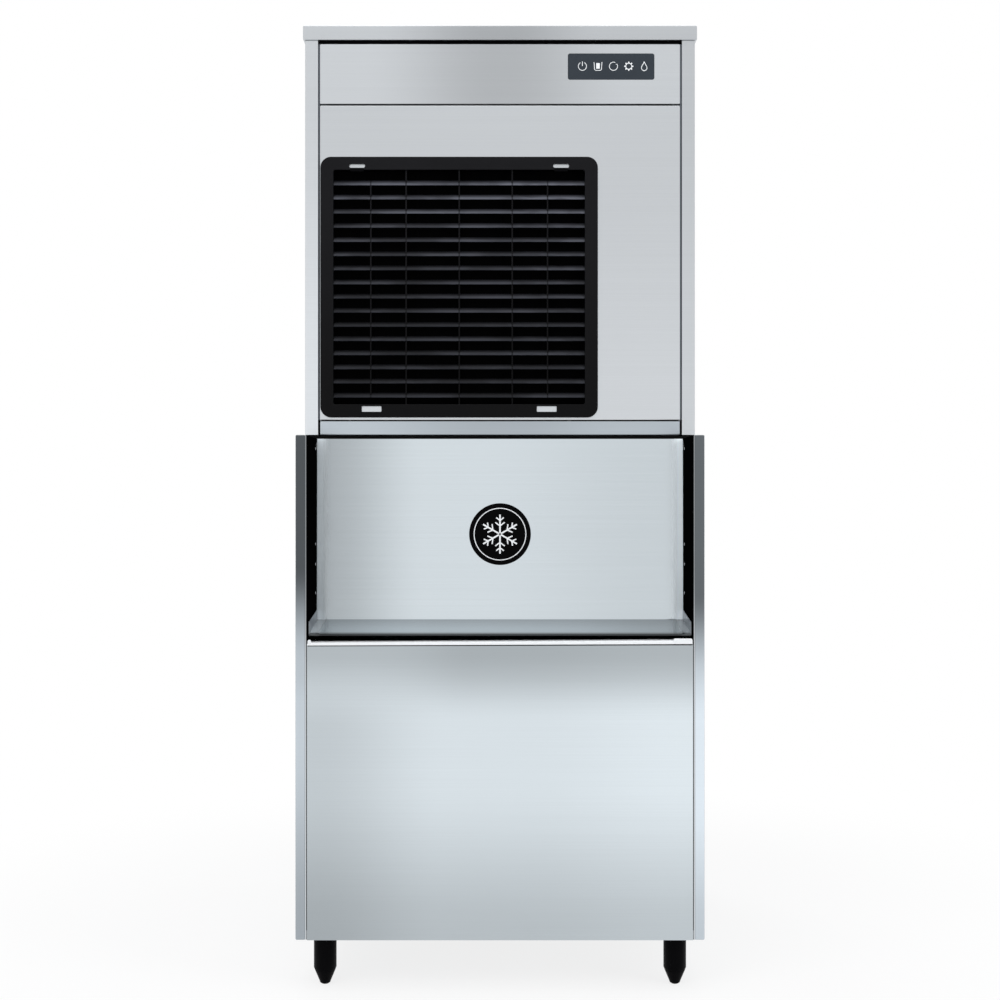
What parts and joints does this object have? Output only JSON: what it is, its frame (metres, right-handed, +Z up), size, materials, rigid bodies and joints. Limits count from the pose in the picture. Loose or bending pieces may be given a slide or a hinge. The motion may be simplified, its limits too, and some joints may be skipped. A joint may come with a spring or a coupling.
{
  "type": "granular ice machine",
  "caption": "Modular granular ice machine: a stainless steel ice-making head with a louvred air grille on an insulated storage bin with a lift-up lid and adjustable feet",
  "frame": {"origin": "on the floor, under the middle of the bin", "axes": "+Z up, the front with the lid and the grille faces -Y, +X is the right-hand side seen from the front"},
  "size_m": [0.7676, 0.8, 1.836],
  "materials": {
    "stainless": "fine brushed grain, folded edges",
    "galvanised": "grey coated sheet, satin",
    "black_plastic": "moulded black, slight sheen",
    "control_film": "dark slate film with white icons",
    "badge_black": "black disc",
    "white_plastic": "food-safe white, satin",
    "foam": "rigid foam",
    "rubber": "matt",
    "aluminium": "bare fins",
    "copper": "drawn copper tube",
    "black_enamel": "black enamel",
    "brass": "turned",
    "grey_plastic": "moulded grey"
  },
  "bodies": {
    "cabinet": {"air_filter": "black_plastic", "air_grille": "black_plastic", "bin_base_pan": "galvanised", "bin_front_panel": "stainless", "bin_insulation": "foam", "bin_left_side": "stainless", "bin_liner": "white_plastic", "bin_rear_panel": "galvanised", "bin_right_side": "stainless", "bin_top_deck": "galvanised", "cable_gland": "black_plastic", "compressor": "black_enamel", "compressor_mount_1": "rubber", "compressor_mount_2": "rubber", "compressor_mount_3": "rubber", "compressor_mount_4": "rubber", "condenser": "aluminium", "control_window": "control_film", "discharge_line": "copper", "drain_outlet": "white_plastic", "electrical_box": "galvanised", "evaporator_barrel": "stainless", "fan_motor": "black_enamel", "fan_shroud": "galvanised", "fascia_panel": "stainless", "feed_hose": "grey_plastic", "foot_front_left": "black_plastic", "foot_front_right": "black_plastic", "foot_rear_left": "black_plastic", "foot_rear_right": "black_plastic", "gear_motor": "galvanised", "head_base_pan": "stainless", "head_front_panel": "stainless", "head_gasket": "rubber", "head_left_side": "stainless", "head_rear_panel": "galvanised", "head_right_side": "stainless", "head_top_cover": "stainless", "ice_breaker": "stainless", "ice_chute": "white_plastic", "leg_front_left": "black_plastic", "leg_front_right": "black_plastic", "leg_rear_left": "black_plastic", "leg_rear_right": "black_plastic", "recess_trim_left": "black_plastic", "recess_trim_right": "black_plastic", "suction_line": "copper", "throat_frame": "black_plastic", "water_hose": "grey_plastic", "water_inlet": "brass", "water_reservoir": "white_plastic"},
    "lid": {"lid_skin": "stainless", "lid_inner_panel": "white_plastic", "lid_gasket": "rubber", "badge_disc": "badge_black", "lid_pivot_left": "galvanised", "lid_pivot_right": "galvanised"},
    "fan_rotor": {"fan": "black_plastic"},
    "auger_screw": {"auger": "stainless"},
    "float_lever": {"float_arm": "grey_plastic"}
  },
  "joints": [
    {"name": "lid_hinge", "type": "hinge", "parent": "cabinet", "child": "lid", "pos_m": [0, -0.245, 1.018], "axis": [-1, 0, 0], "range_deg": [0, 95]},
    {"name": "fan_spin", "type": "hinge", "parent": "cabinet", "child": "fan_rotor", "pos_m": [-0.0796, -0.15138, 1.3266], "axis": [0, 1, 0], "continuous": true},
    {"name": "auger_turn", "type": "hinge", "parent": "cabinet", "child": "auger_screw", "pos_m": [0.23, 0.085, 1.32], "axis": [0, 0, 1], "continuous": true},
    {"name": "float_swing", "type": "hinge", "parent": "cabinet", "child": "float_lever", "pos_m": [0.04, 0.1357, 1.4708], "axis": [1, 0, 0], "range_deg": [0, 15]}
  ]
}
